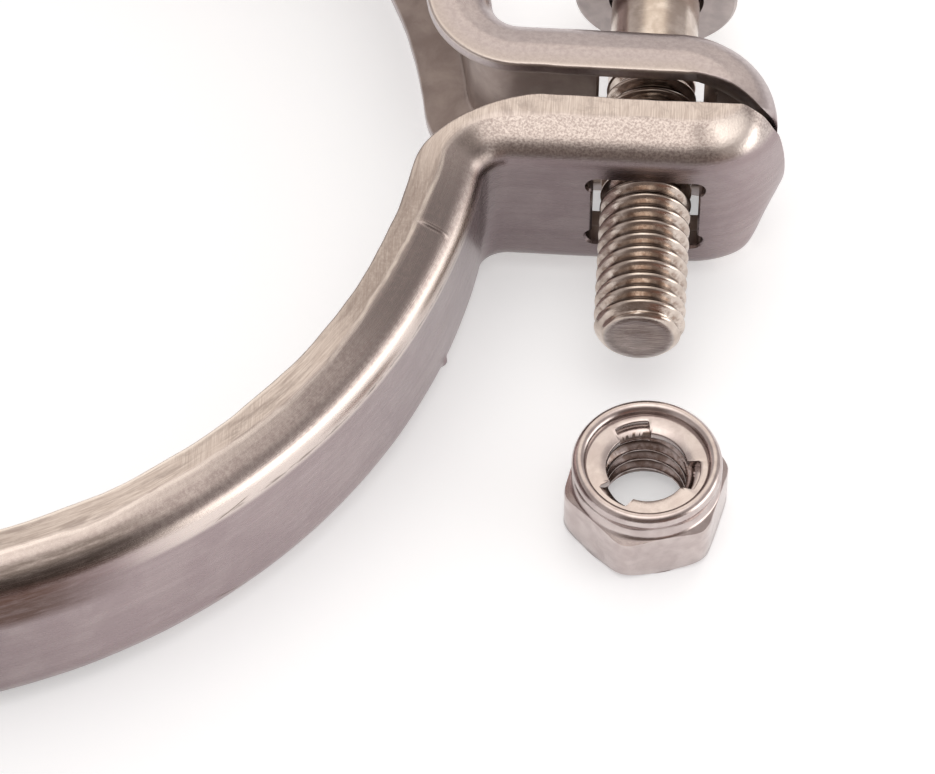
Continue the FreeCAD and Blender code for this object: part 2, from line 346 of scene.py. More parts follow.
def cut_section(limit):
    """Closed section whose legs end at a depth, always with the same number of points."""
    edge = min(EDGE, limit / 3)
    top = height_at(OUTER, limit)
    outer = ended(OUTER, limit - edge, height_at(OUTER, limit - edge))
    rim = []
    for turn in (math.pi / 2 * i / 3 for i in range(1, 4)):
        rim.append((limit - edge + edge * math.sin(turn), top - edge + edge * math.cos(turn)))
    hollow = limit > SHEET + 0.02
    low = height_at(INNER_LEG, limit) if hollow else 0.0
    span = max(top - edge - low, 0)
    low_edge = min(edge, span / 2)
    for i in range(1, 4):
        rim.append((limit, top - edge - (span - low_edge) * i / 3))
    if hollow:
        for turn in (math.pi / 4, math.pi / 2):
            rim.append((limit - low_edge * (1 - math.cos(turn)), low + low_edge * (1 - math.sin(turn))))
        inner = ended(INNER[1:], limit - low_edge, height_at(INNER_LEG, limit - low_edge))
    else:
        rim += [rim[-1]] * 2
        inner = [(limit, 0.0)] * (len(INNER) - 1)
    upper = outer + rim + inner
    lower = [(d, -h) for d, h in reversed(upper[1:-1])]
    return np.array(upper + lower)


# Path of a half-band on its -Y side

def circle_through(a, b, c):
    """Centre and radius of the circle through three plan points."""
    rows = np.array([[b[0] - a[0], b[1] - a[1]], [c[0] - a[0], c[1] - a[1]]]) * 2
    sums = [b[0] ** 2 + b[1] ** 2 - a[0] ** 2 - a[1] ** 2, c[0] ** 2 + c[1] ** 2 - a[0] ** 2 - a[1] ** 2]
    x, y = np.linalg.solve(rows, sums)
    return x, y, math.hypot(a[0] - x, a[1] - y)


def root_trim_circle():
    """The arc to which the near rims are ground where they turn from the ring into the lug."""
    ring_reach = WEB_RADIUS - CHANNEL_DEPTH - TRIM_OVERSHOOT
    reach = ROOT_RADIUS + CHANNEL_DEPTH - TRIM_DEPTH
    start = (ring_reach * math.cos(ROOT_ANGLE), -ring_reach * math.sin(ROOT_ANGLE))
    middle = (ROOT_X + reach * math.cos(TRIM_HEADING), -ROOT_Y + reach * math.sin(TRIM_HEADING))
    end = (ROOT_X + TRIM_RUN, TRIM_OVERSHOOT - RIM_GAP / 2)
    return circle_through(start, middle, end)


class Band:
    """Where the section stands along one half-band."""

    def __init__(self, tip_start, tip_end, rim_line, trim=None, marks=()):
        self.trim = trim
        self.marks = marks
        self.tip_x = BOLT_X + tip_start
        self.tip_y = TIP_RADIUS - LUG_WEB_Y
        self.tip_end = tip_end
        self.rim_line = rim_line
        self.ring_run = WEB_RADIUS * (math.pi - ROOT_ANGLE)
        self.root_run = (ROOT_RADIUS + CHANNEL_DEPTH / 2) * (math.pi / 2 - ROOT_ANGLE)
        self.flat_run = self.tip_x - ROOT_X
        ring = np.linspace(-math.pi + math.asin(REAR_GAP / WEB_RADIUS) + 0.01, -ROOT_ANGLE, 430)
        finer = [np.linspace(mark[0] - 1, mark[0] + 1, 24) / WEB_RADIUS - math.pi for mark in marks]
        self.ring_headings = np.unique(np.concatenate([ring, *finer]))

    def trimmed(self, ox, oy, dx, dy, start):
        """Depth at which the trimmed rims end, for a station whose depth 0 is a start away from its origin."""
        if self.trim is None:
            return CHANNEL_DEPTH
        x, y, radius = self.trim
        for depth in np.arange(CHANNEL_DEPTH, 3, -0.02):
            reach = start + depth
            if math.hypot(ox + dx * reach - x, oy + dy * reach - y) <= radius:
                return float(depth)
        return CHANNEL_DEPTH

    def tip_limit(self, heading):
        """Depth at which the rim line cuts the section at a heading of the tip, found by halving."""
        low, high = TIP_RADIUS - CHANNEL_DEPTH, TIP_RADIUS
        for _ in range(40):
            middle = (low + high) / 2
            x = self.tip_x + middle * math.cos(heading)
            y = self.tip_y + middle * math.sin(heading)
            if y > self.rim_line(x):
                low = middle
            else:
                high = middle
        return TIP_RADIUS - high

    def stations(self):
        """(origin x, origin y, depth direction x, y, signed radius of depth 0, depth limit) along the band."""
        rows = []
        for heading in self.ring_headings:
            rows.append((0, 0, math.cos(heading), math.sin(heading), WEB_RADIUS, -1, CHANNEL_DEPTH))
        for turn in np.linspace(math.pi - ROOT_ANGLE, math.pi / 2, 40)[1:]:
            limit = self.trimmed(ROOT_X, -ROOT_Y, math.cos(turn), math.sin(turn), ROOT_RADIUS)
            rows.append((ROOT_X, -ROOT_Y, math.cos(turn), math.sin(turn), ROOT_RADIUS, 1, limit))
        for x in np.linspace(ROOT_X, self.tip_x, 46)[1:]:
            limit = self.trimmed(x, -LUG_WEB_Y, 0, 1, 0) if x < ROOT_X + TRIM_RUN else CHANNEL_DEPTH
            rows.append((x, -LUG_WEB_Y, 0, 1, 0, 1, limit))
        last = -math.asin((self.tip_y - self.tip_end) / (TIP_RADIUS - TIP_LAST_DEPTH))
        for heading in np.linspace(-math.pi / 2, last, 50)[1:]:
            limit = min(self.tip_limit(heading), CHANNEL_DEPTH)
            rows.append((self.tip_x, self.tip_y, math.cos(heading), math.sin(heading), TIP_RADIUS, -1, limit))
        return self.eased(rows)

    def eased(self, rows):
        """Evens out the depth limits round the start of the trimmed root."""
        if self.trim is None:
            return rows
        places = []
        for ox, oy, dx, dy, radius, direction, _ in rows:
            reach = radius + direction * 4 if radius else 4
            places.append((ox + dx * reach, oy + dy * reach))
        run = np.concatenate([[0], np.cumsum(np.hypot(*np.diff(np.array(places), axis=0).T))])
        limits = np.array([row[6] for row in rows])
        start = float(run[len(self.ring_headings) - 1])
        for i, row in enumerate(rows):
            if abs(run[i] - start) < 4 * TRIM_EASE:
                weight = np.exp(-((run - run[i]) / TRIM_EASE) ** 2) * np.gradient(run)
                rows[i] = (*row[:6], min(float(np.sum(weight * limits) / np.sum(weight)), CHANNEL_DEPTH))
        return rows

    def along(self, x, y):
        """(run along the band, depth behind the web) of plan points on the -Y side."""
        heading = np.arctan2(y, x)
        run = WEB_RADIUS * (heading + math.pi)
        depth = WEB_RADIUS - np.hypot(x, y)
        rx, ry = x - ROOT_X, y + ROOT_Y
        turn = np.arctan2(ry, rx)
        in_root = (heading > -ROOT_ANGLE) & (x <= ROOT_X)
        run = np.where(in_root, self.ring_run + (ROOT_RADIUS + CHANNEL_DEPTH / 2) * (math.pi - ROOT_ANGLE - turn), run)
        depth = np.where(in_root, np.hypot(rx, ry) - ROOT_RADIUS, depth)
        in_flat = x > ROOT_X
        run = np.where(in_flat, self.ring_run + self.root_run + x - ROOT_X, run)
        depth = np.where(in_flat, y + LUG_WEB_Y, depth)
        tx, ty = x - self.tip_x, y - self.tip_y
        in_tip = x > self.tip_x
        tip_turn = np.arctan2(ty, tx) + math.pi / 2
        run = np.where(in_tip, self.ring_run + self.root_run + self.flat_run + TIP_RADIUS * tip_turn, run)
        depth = np.where(in_tip, TIP_RADIUS - np.hypot(tx, ty), depth)
        return run, depth


def lug_hole_outline(steps=10):
    """Outline of the square bolt hole with relieved corners, as (x, z) about the bolt's axis."""
    side = HOLE_HALF + RELIEF_REACH - RELIEF_RADIUS
    up = HOLE_HALF - RELIEF_RADIUS
    start = -math.acos((HOLE_HALF - side) / RELIEF_RADIUS)
    corner = []
    for i in range(steps + 1):
        turn = start + (math.pi / 2 - start) * i / steps
        corner.append((side + RELIEF_RADIUS * math.cos(turn), up + RELIEF_RADIUS * math.sin(turn)))
    mirrored = [(-x, z) for x, z in reversed(corner)]
    top = corner + mirrored
    return top + [(-x, -z) for x, z in top]


def tool_object(points, faces):
    """A closed mesh that is only used to cut or extend a piece."""
    tool = linked_mesh("tool", points, faces)
    tidy(tool)
    return tool


def hole_cutter(sign):
    """A prism through the lug's web, flared at both faces so that the hole's edges are eased."""
    outline = np.array(lug_hole_outline())
    ahead = np.roll(outline, -1, axis=0) - np.roll(outline, 1, axis=0)
    outward = np.column_stack([ahead[:, 1], -ahead[:, 0]])
    outward /= np.linalg.norm(outward, axis=1)[:, None]
    outer_y, inner_y = -LUG_WEB_Y, -LUG_WEB_Y + SHEET
    layers = [(outer_y - 1, 1 + EDGE), (outer_y + EDGE, 0), (inner_y - EDGE, 0), (inner_y + 1, 1 + EDGE)]
    points = []
    for y, grow in layers:
        for (x, z), (ox, oz) in zip(outline, outward):
            points.append((BOLT_X + x + ox * grow, sign * y, z + oz * grow))
    return tool_object(points, capped_faces(len(layers), len(outline)))


def combine(obj, tool, operation):
    """Cuts a tool out of a piece, or joins it on, and deletes the tool."""
    modifier = obj.modifiers.new("combine", "BOOLEAN")
    modifier.operation = operation
    modifier.solver = "MANIFOLD"
    modifier.object = tool
    bpy.context.view_layer.update()
    evaluated = obj.evaluated_get(bpy.context.evaluated_depsgraph_get())
    cut = bpy.data.meshes.new_from_object(evaluated)
    obj.modifiers.clear()
    old = obj.data
    obj.data = cut
    bpy.data.meshes.remove(old)
    bpy.data.objects.remove(tool)


def strip_section(width, low, high, edge=0.25):
    """Closed outline of a flat strip as (offset from its first face, z), with eased corners."""
    points = []
    for cx, cz, start in ((width - edge, high - edge, 0), (edge, high - edge, 90),
                          (edge, low + edge, 180), (width - edge, low + edge, 270)):
        for i in range(4):
            turn = math.radians(start + 30 * i)
            points.append((cx + edge * math.cos(turn), cz + edge * math.sin(turn)))
    return points


def knuckle(low, high):
    """Points and faces of a web tongue that runs on from the band and rolls round the hinge pin."""
    section = strip_section(SHEET, low, high)
    bore = PIN_RADIUS + PIN_CLEARANCE
    hinge_x = -(WEB_RADIUS + bore)
    rows = []
    start = -math.pi + math.asin((REAR_GAP + 0.8) / WEB_RADIUS)
    for heading in np.linspace(start, -math.pi, 14)[:-1]:
        rows.append([((WEB_RADIUS - d) * math.cos(heading), (WEB_RADIUS - d) * math.sin(heading), z)
                     for d, z in section])
    for turn in np.radians(np.linspace(0, KNUCKLE_WRAP, 80)):
        rows.append([(hinge_x + (bore + d) * math.cos(turn), (bore + d) * math.sin(turn), z) for d, z in section])
    return [p for row in rows for p in row], capped_faces(len(rows), len(section))


def half_band(name, body, band, sign, tongues, seed):
    """One pressed half-band as a dense mesh: swept section, eased edges, bolt hole and knuckles.

    sign is -1 for the half on the -Y side and 1 for the other.
    """
    rows = []
    for ox, oy, dx, dy, radius, direction, limit in band.stations():
        row = []
        for depth, height in cut_section(limit):
            reach = radius + direction * depth if radius else depth
            row.append((ox + dx * reach, oy + dy * reach, height))
        rows.append(row)
    first = []
    for x, y, z in rows[0]:
        reach = math.hypot(x, y)
        first.append((-math.sqrt(reach ** 2 - REAR_GAP ** 2), -REAR_GAP, z))
    rows.insert(0, first)
    points = np.array([p for row in rows for p in row])
    points[:, 1] *= -sign
    obj = mesh_piece(name, points, capped_faces(len(rows), len(rows[0])), body)
    tidy(obj)
    combine(obj, hole_cutter(-sign), "DIFFERENCE")
    for low, high in tongues:
        points, faces = knuckle(low, high)
        combine(obj, tool_object(np.array(points) * (1, -sign, 1), faces), "UNION")
    tidy(obj)
    dress_band(obj, band, -sign, seed)
    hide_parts(name.replace("_visual", ""))
    return obj


def dress_band(obj, band, side, seed):
    """Gives the band its slight waves and marks, and stores where each point lies along and across the sheet."""
    mesh = obj.data
    co = vertex_values(mesh, "co") / MM
    normals = vertex_values(mesh, "normal")
    x, y, z = co[:, 0], co[:, 1] * side, co[:, 2]
    run, depth = band.along(x, y)
    level = np.abs(z)
    outside = np.interp(depth, *rising(OUTER))
    inside = smooth(outside - level, 0.8, 1.3) * (depth > 1.2)
    rear = smooth(x, -WEB_RADIUS + 1, -WEB_RADIUS + 3)
    tip_run = band.ring_run + band.root_run + band.flat_run
    before_tip = 1 - smooth(run, tip_run + 4, tip_run + 7)
    rim_wave = waves(run, 0, np.sign(z) * 5, RIM_WAVES, seed)
    push = smooth(depth, 4.2, CHANNEL_DEPTH) * rim_wave * rear * before_tip
    face_wave = waves(run, depth, z, FACE_WAVES, seed + len(RIM_WAVES))
    lift = face_wave * rear * (1 - 0.75 * smooth(level, *FACET_LEVEL))
    for mark_run, mark_around, length, wide, high in band.marks:
        across = (level + depth - mark_around) / length
        along = (run - mark_run) / wide
        lift = lift + abs(high) * np.exp(-along ** 2) * np.exp(-across ** 4) * (z * high > 0)
    inward = np.zeros(co.shape)
    heading = np.arctan2(y, x)
    in_ring = heading < -ROOT_ANGLE
    inward[:, 0] = np.where(in_ring, -np.cos(heading), 0)
    inward[:, 1] = np.where(in_ring, -np.sin(heading), 1) * side
    co += normals * lift[:, None] + inward * push[:, None]
    tip = smooth(x, band.tip_x + TIP_RADIUS - TIP_DRAW_RUN, band.tip_x + TIP_RADIUS) ** 2
    above = 0.0 if band.trim is None else 1.0
    corner = np.minimum(np.abs(z) / WEB_FLAT_HALF, 1.3) ** 2
    co[:, 0] -= np.where(z > 0, TIP_ROUND_ABOVE * above, TIP_ROUND_BELOW) * tip * corner
    co[:, 2] *= 1 - np.where(z > 0, TIP_DRAW_ABOVE * above, TIP_DRAW_BELOW) * tip
    co[:, 2] = np.clip(co[:, 2], TABLE_Z, -TABLE_Z)
    mesh.vertices.foreach_set("co", (co * MM).ravel())
    for attribute, values in (("along", run), ("depth", depth), ("level", level), ("inside", inside)):
        store(mesh, attribute, values)
    mesh.update()


# Turned pieces

def mark_grooves(obj, groove_of):
    """Stores how deep in a thread's groove each point lies, 0 at the crest and 1 at the root."""
    store(obj.data, "groove", np.clip(groove_of(*(vertex_values(obj.data, "co") / MM).T), 0, 1))


def thread_form(phase):
    """Depth below the crest, 0 to 1, at a phase of the thread's pitch."""
    away = np.abs((phase + 0.5) % 1 - 0.5) * 2
    rise = np.clip((away - CREST_SHARE) / (1 - CREST_SHARE - ROOT_SHARE), 0, 1)
    return 0.7 * rise + 0.3 * rise * rise * (3 - 2 * rise)


def hex_radius(turn, flats, corner_ease=0.25):
    """Distance from the axis to a hexagon's side, with softened corners."""
    folded = (turn + math.pi / 6) % (math.pi / 3) - math.pi / 6
    plain = flats / 2 / np.cos(np.pi / 6 - np.abs(folded))
    limit = flats / math.sqrt(3) - corner_ease
    eased = limit - (limit + corner_ease - plain) ** 2 / (4 * corner_ease) * (plain < limit + corner_ease)
    return np.where(plain > limit - corner_ease, eased, plain)


def chamfer(radius, start):
    """Height that a 30 degree chamfer takes off a hexagon's face at a radius past its start."""
    return np.maximum(radius - start, 0) * math.tan(math.radians(30))


class Turned:
    """Rows of a piece built round an axis, each with its place along the axis and its radius at every turn."""

    def __init__(self, around):
        self.turns = np.linspace(0, 2 * math.pi, around, endpoint=False)
        self.rows = []

    def add(self, along, radius):
        self.rows.append(np.broadcast_arrays(along, radius, self.turns)[:2])

    def add_all(self, rows):
        for along, radius in rows:
            self.add(along, radius)

    def piece(self, name, body, place, sharp_degrees, close_rows=True):
        """The mesh of the rows; place gives the points at places along the axis, radii and turns."""
        points = []
        for along, radius in self.rows:
            points += list(zip(*place(along, radius, self.turns)))
        faces = grid_faces(len(self.rows), len(self.turns), close_rows)
        obj = mesh_piece(name, points, faces, body)
        tidy(obj, sharp_degrees)
        return obj


def point_radius(w):
    """Radius of the bolt's point at a distance from its end: a cone with a full, rounded shoulder."""
    share = np.clip(np.asarray(w) / POINT_LENGTH, 0, 1)
    full = 0.4 * share + 0.6 * np.sqrt(1 - (1 - share) ** 2)
    return POINT_RADIUS + 0.08 + (THREAD_RADIUS - POINT_RADIUS) * full + np.maximum(w - POINT_LENGTH, 0)


def bolt_piece():
    """The bolt: rolled thread with its runout, bright shank, washer face and chamfered hex head."""
    bolt = Turned(112)
    bolt.add_all(((0.0, 0.0), (0.05, 0.35 * POINT_RADIUS), (0.05, 0.7 * POINT_RADIUS), (0.02, 0.93 * POINT_RADIUS)))
    lengths = np.arange(0, THREAD_LENGTH + 3, THREAD_PITCH / 15)
    for w in lengths:
        fade = 1 - float(smooth(w, THREAD_LENGTH, THREAD_LENGTH + 2.2))
        crest = THREAD_RADIUS - (THREAD_RADIUS - SHANK_RADIUS) * (1 - fade)
        phase = w / THREAD_PITCH - bolt.turns / (2 * math.pi) + 0.1
        bolt.add(w, np.minimum(crest - THREAD_DEPTH * thread_form(phase) * fade, point_radius(w)))
    seat = HEAD_SEAT_Y - BOLT_END_Y
    bolt.add_all((w, SHANK_RADIUS) for w in np.linspace(lengths[-1] + 0.3, seat - 0.35, 20))
    face = seat + HEAD_FACE_HEIGHT
    bolt.add_all(((seat - 0.1, SHANK_RADIUS + 0.08), (seat, SHANK_RADIUS + 0.35), (seat, HEAD_FACE_RADIUS - 0.1),
                  (seat + 0.1, HEAD_FACE_RADIUS), (face, HEAD_FACE_RADIUS)))
    hexagon = hex_radius(bolt.turns, HEAD_FLATS)
    ease = 0.18
    chamfer_start = HEAD_FLATS / 2 - ease
    top = HEAD_HEIGHT - chamfer(hexagon, chamfer_start)
    bolt.add_all(((face, hexagon - ease), (face + ease, hexagon), (seat + (HEAD_FACE_HEIGHT + top) / 2, hexagon),
                  (seat + top - ease, hexagon), (seat + top, hexagon - ease)))
    flat_top = HEAD_FLATS / 2 - 0.6
    for share in (0.75, 0.5, 0.25):
        radius = flat_top + (hexagon - ease - flat_top) * share
        bolt.add(seat + HEAD_HEIGHT - chamfer(radius, chamfer_start), radius)
    bolt.add_all((seat + HEAD_HEIGHT, radius) for radius in (flat_top, HEAD_FLATS / 4, 0.0))
    obj = bolt.piece("bolt_visual", "bolt",
                     lambda w, radius, turn: (BOLT_X + radius * np.sin(turn), BOLT_END_Y + w, radius * np.cos(turn)),
                     50, close_rows=False)

    def groove(x, y, z):
        w = y - BOLT_END_Y
        depth = np.minimum(THREAD_RADIUS, point_radius(w)) - np.hypot(x - BOLT_X, z)
        return depth / THREAD_DEPTH * (w > 0.2) * (w < THREAD_LENGTH)

    mark_grooves(obj, groove)
    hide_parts("bolt")
    return obj


def on_nut(height, radius, turn):
    """Point at a height, a radius and a turn about the nut's axis."""
    return NUT_X + radius * np.cos(turn), NUT_Y + radius * np.sin(turn), height


def nut_piece():
    """The locknut's body: tapped bore, ring seat, rolled lip, neck and chamfered hexagon."""
    nut = Turned(168)
    hexagon = hex_radius(nut.turns - math.radians(NUT_TURN), NUT_FLATS, 0.3)
    foot = NUT_FLATS / 2 - 0.05
    foot_start = NUT_MINOR + 0.8
    nut.add_all((0, foot_start + (foot - foot_start) * share) for share in (0, 0.25, 0.5, 0.75, 0.94))
    nut.add(0.03, foot)
    nut.add(0.05 + chamfer(hexagon - 0.1, foot), hexagon - 0.1)
    side_low = 0.2 + chamfer(hexagon, foot)
    side_top = NUT_HEX_TOP - chamfer(hexagon, NUT_COLLAR)
    nut.add_all((side_low + (side_top - side_low) * share, hexagon) for share in (0, 0.3, 0.6, 0.9))
    nut.add_all(((side_top - 0.12, hexagon), (side_top - 0.02, hexagon - 0.06)))
    for share in (0.9, 0.6, 0.3, 0.08):
        radius = NUT_COLLAR + (hexagon - NUT_COLLAR) * share
        nut.add(NUT_HEX_TOP - chamfer(radius, NUT_COLLAR) + 0.02, radius)
    nut.add_all(((NUT_HEX_TOP + 0.1, NUT_COLLAR - 0.08), (5.75, NUT_NECK + 0.05), (6.15, NUT_NECK),
                 (6.5, NUT_NECK + 0.04), (6.8, NUT_NECK + 0.16)))
    middle = (NUT_LIP + NUT_COLLAR) / 2
    half = (NUT_COLLAR - NUT_LIP) / 2
    for turn in (math.pi * i / 16 for i in range(17)):
        nut.add(NUT_LIP_BASE + (NUT_HEIGHT - NUT_LIP_BASE) * math.sin(turn), middle + half * math.cos(turn))
    nut.add_all(((6.98, NUT_LIP + 0.05), (6.95, NUT_LIP + 0.2), (6.9, 5.6), (6.2, 5.62), (6.18, 4.6), (6.15, 4.3),
                 (6.05, 4.12)))
    major = NUT_MINOR + NUT_THREAD_DEPTH
    for height in np.arange(5.95, 0.35, -THREAD_PITCH / 12):
        entry = float(smooth(height, 0.3, 1.0) * (1 - 0.8 * smooth(height, 5.5, 6.0)))
        phase = height / THREAD_PITCH - (nut.turns - 0.6) / (2 * math.pi)
        bore = NUT_MINOR + NUT_THREAD_DEPTH * thread_form(phase)
        nut.add(height, np.maximum(bore * entry + major * (1 - entry), NUT_MINOR + 0.85 - height))
    nut.add(0.12, NUT_MINOR + 0.72)
    obj = nut.piece("nut_body_visual", "nut",
                    lambda height, radius, turn: on_nut(TABLE_Z + height, radius, turn), 50)

    def groove(x, y, _):
        radius = np.hypot(x - NUT_X, y - NUT_Y)
        return (0.45 + 0.55 * (radius - NUT_MINOR) / NUT_THREAD_DEPTH) * (radius < major + 0.1)

    mark_grooves(obj, groove)
    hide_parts("nut_body")
    return obj


def lock_ring_piece():
    """The lock ring inside the nut: three tabs between three notches, with sheared, eased edges."""
    ring = Turned(216)
    base, top = ring_low.z, ring_high.z
    third = 2 * math.pi / 3
    away = np.degrees(np.abs((ring.turns - math.radians(RING_FIRST_NOTCH) + third / 2) % third - third / 2))
    notch = 1 - smooth(away, RING_NOTCH_HALF - 2.2, RING_NOTCH_HALF + 2.2)
    inner = RING_TAB + (RING_NOTCH - RING_TAB) * notch
    outer = (ring_high.x - ring_low.x) / 2 - 0.02
    dip = (1 - notch) * 0.22 * smooth(outer - inner, 0.5, 2.0)
    ease = 0.14
    for share in (0, 0.35, 0.7):
        ring.add(top - dip * share ** 2, outer + (inner + ease - outer) * share)
    for turn in (math.pi / 2 * i / 4 for i in range(1, 5)):
        ring.add(top - dip - ease * (1 - math.cos(turn)), inner + ease * (1 - math.sin(turn)))
    ring.add_all((((top + base) / 2 - dip, inner), (base + ease - dip * 0.6, inner),
                  (base - dip * 0.6, inner + ease), (base, outer)))
    obj = ring.piece("nut_lock_ring_visual", "nut", on_nut, 45)
    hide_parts("nut_lock_ring")
    return obj


def near_rim(x):
    """Rim line of the near lug in plan: it drops a little over the tip."""
    return -RIM_GAP / 2 - NEAR_RIM_DROP * float(smooth(x, *NEAR_RIM_STEP))


def far_rim(x):
    """Rim line of the far lug in plan, on its mirrored side: it rounds off over the tip."""
    reach = min(max(x - BOLT_X - RIM_ROUND_START, 0), TIP_RADIUS - 0.01)
    return min(-RIM_GAP / 2 + TIP_RADIUS - math.sqrt(TIP_RADIUS ** 2 - reach ** 2), FAR_TIP_END)


# Materials

class Graph:
    """Short calls for the nodes of one material or world."""

    def __init__(self, owner):
        owner.use_nodes = True
        self.tree = owner.node_tree
        self.tree.nodes.clear()

    def node(self, kind, **settings):
        made = self.tree.nodes.new(kind)
        for key, value in settings.items():
            setattr(made, key, value)
        return made

    def put(self, socket, value):
        if isinstance(value, bpy.types.NodeSocket):
            self.tree.links.new(value, socket)
        elif value is not None:
            socket.default_value = value

    def math(self, operation, a, b=None, c=None):
        made = self.node("ShaderNodeMath", operation=operation)
        for socket, value in zip(made.inputs, (a, b, c)):
            self.put(socket, value)
        return made.outputs[0]

    def product(self, first, *others):
        """Product of numbers."""
        for other in others:
            first = self.math("MULTIPLY", first, other)
        return first

    def attribute(self, name):
        return self.node("ShaderNodeAttribute", attribute_name=name).outputs["Fac"]

    def vector(self, x, y, z=0.0):
        made = self.node("ShaderNodeCombineXYZ")
        for socket, value in zip(made.inputs, (x, y, z)):
            self.put(socket, value)
        return made.outputs[0]

    def split(self, vector):
        made = self.node("ShaderNodeSeparateXYZ")
        self.put(made.inputs[0], vector)
        return made.outputs

    def scaled(self, vector, factors):
        made = self.node("ShaderNodeVectorMath", operation="MULTIPLY")
        self.put(made.inputs[0], vector)
        made.inputs[1].default_value = factors
        return made.outputs[0]

    def noise(self, vector, scale=1.0, detail=3.0, roughness=0.55, distortion=0.0):
        made = self.node("ShaderNodeTexNoise")
        self.put(made.inputs["Vector"], vector)
        made.inputs["Scale"].default_value = scale
        made.inputs["Detail"].default_value = detail
        made.inputs["Roughness"].default_value = roughness
        made.inputs["Distortion"].default_value = distortion
        return made.outputs["Fac"]

    def fit(self, value, low, high, out_low=0.0, out_high=1.0):
        """A soft step from out_low to out_high while the value goes from low to high."""
        made = self.node("ShaderNodeMapRange", interpolation_type="SMOOTHSTEP")
        self.put(made.inputs["Value"], value)
        for name, number in (("From Min", low), ("From Max", high), ("To Min", out_low), ("To Max", out_high)):
            made.inputs[name].default_value = number
        return made.outputs[0]

    def window(self, value, low, high, soft):
        """1 between low and high, with soft ends."""
        return self.product(self.fit(value, low - soft, low + soft),
                            self.fit(value, high - soft, high + soft, 1.0, 0.0))

    def mix(self, share, a, b):
        """Mix of two colours."""
        made = self.node("ShaderNodeMix", data_type="RGBA")
        self.put(made.inputs["Factor"], share)
        for socket, value in ((made.inputs[6], a), (made.inputs[7], b)):
            self.put(socket, (*value, 1.0) if isinstance(value, tuple) else value)
        return made.outputs[2]

    def blend(self, share, a, b):
        """Mix of two numbers."""
        made = self.node("ShaderNodeMix", data_type="FLOAT")
        self.put(made.inputs["Factor"], share)
        self.put(made.inputs[2], a)
        self.put(made.inputs[3], b)
        return made.outputs[0]

    def shade(self, colour, share):
        """A colour times a number."""
        made = self.node("ShaderNodeMix", data_type="RGBA", blend_type="MULTIPLY")
        made.inputs["Factor"].default_value = 1.0
        self.put(made.inputs[6], colour)
        self.put(made.inputs[7], self.vector(share, share, share))
        return made.outputs[2]

    def bump(self, height, strength, distance):
        made = self.node("ShaderNodeBump")
        made.inputs["Strength"].default_value = strength
        made.inputs["Distance"].default_value = distance
        self.put(made.inputs["Height"], height)
        return made.outputs[0]

    def metal(self, colour, roughness, normal):
        shader = self.node("ShaderNodeBsdfPrincipled")
        shader.inputs["Metallic"].default_value = 1.0
        self.put(shader.inputs["Base Color"], colour)
        self.put(shader.inputs["Roughness"], roughness)
        self.put(shader.inputs["Normal"], normal)
        self.finish(shader, "ShaderNodeOutputMaterial")

    def finish(self, shader, kind):
        """Leads a shader to the output of the material or world."""
        self.tree.links.new(shader.outputs[0], self.node(kind).inputs["Surface"])


def millimetres(g):
    """Place on the object, in millimetres."""
    return g.scaled(g.node("ShaderNodeTexCoord").outputs["Object"], (1000, 1000, 1000))


class SheetGraph(Graph):
    """Nodes of a pressed sheet's material, with the place on the sheet and its noises at hand."""

    def __init__(self, owner):
        super().__init__(owner)
        self.place = millimetres(self)
        self.up = self.split(self.place)[2]
        self.run = self.attribute("along")
        self.depth = self.attribute("depth")
        self.inside = self.attribute("inside")
        level = self.attribute("level")
        self.around = self.math("ADD", self.depth, level)
        self.grain = self.noise(self.place, 5.0, 3, 0.65)
        self.speckle = self.noise(self.place, 2.2, 4, 0.7)
        self.ring_lines = self.drawn_out(0.3, 8.0, 4, 0.7, 0.3)
        self.at_root = self.window(self.run, *ROOT_WINDOW)
        self.on_lug = self.fit(self.run, *LUG_STEP)
        self.off_lug = self.math("SUBTRACT", 1.0, self.on_lug)
        self.on_shoulder = self.fit(self.around, 7.0, 8.4)
        self.on_level = self.product(self.fit(level, HALF_HEIGHT - 0.4, HALF_HEIGHT - 0.1),
                                     self.math("SUBTRACT", 1.0, self.inside))

    def drawn_out(self, along, across, detail, roughness, distortion=0.0):
        """Noise that is drawn out along the band, from its scales along and across it."""
        place = self.vector(self.product(self.run, along), self.product(self.around, across))
        return self.noise(place, 1.0, detail, roughness, distortion)

    def slanting(self, heading, fineness):
        """Noise like scratches at a heading in plan."""
        turned = self.node("ShaderNodeMapping")
        self.put(turned.inputs["Vector"], self.place)
        turned.inputs["Rotation"].default_value = (0, 0, math.radians(heading))
        turned.inputs["Scale"].default_value = (fineness, 0.3, 1.0)
        return self.noise(turned.outputs[0], 1.0, 3, 0.7, 0.6)

    def lay(self, colour, marks, along, breaking):
        """Lays marks of wear and painted light over a colour, each broken up by noise."""
        for across, reach, upper_only, shares, mark_colour in marks:
            mark = self.product(self.window(self.around, *across), self.window(along, *reach),
                                self.fit(breaking, *shares))
            if upper_only:
                mark = self.product(mark, self.fit(self.up, -0.5, 0.5))
            colour = self.mix(mark, colour, mark_colour)
        return colour


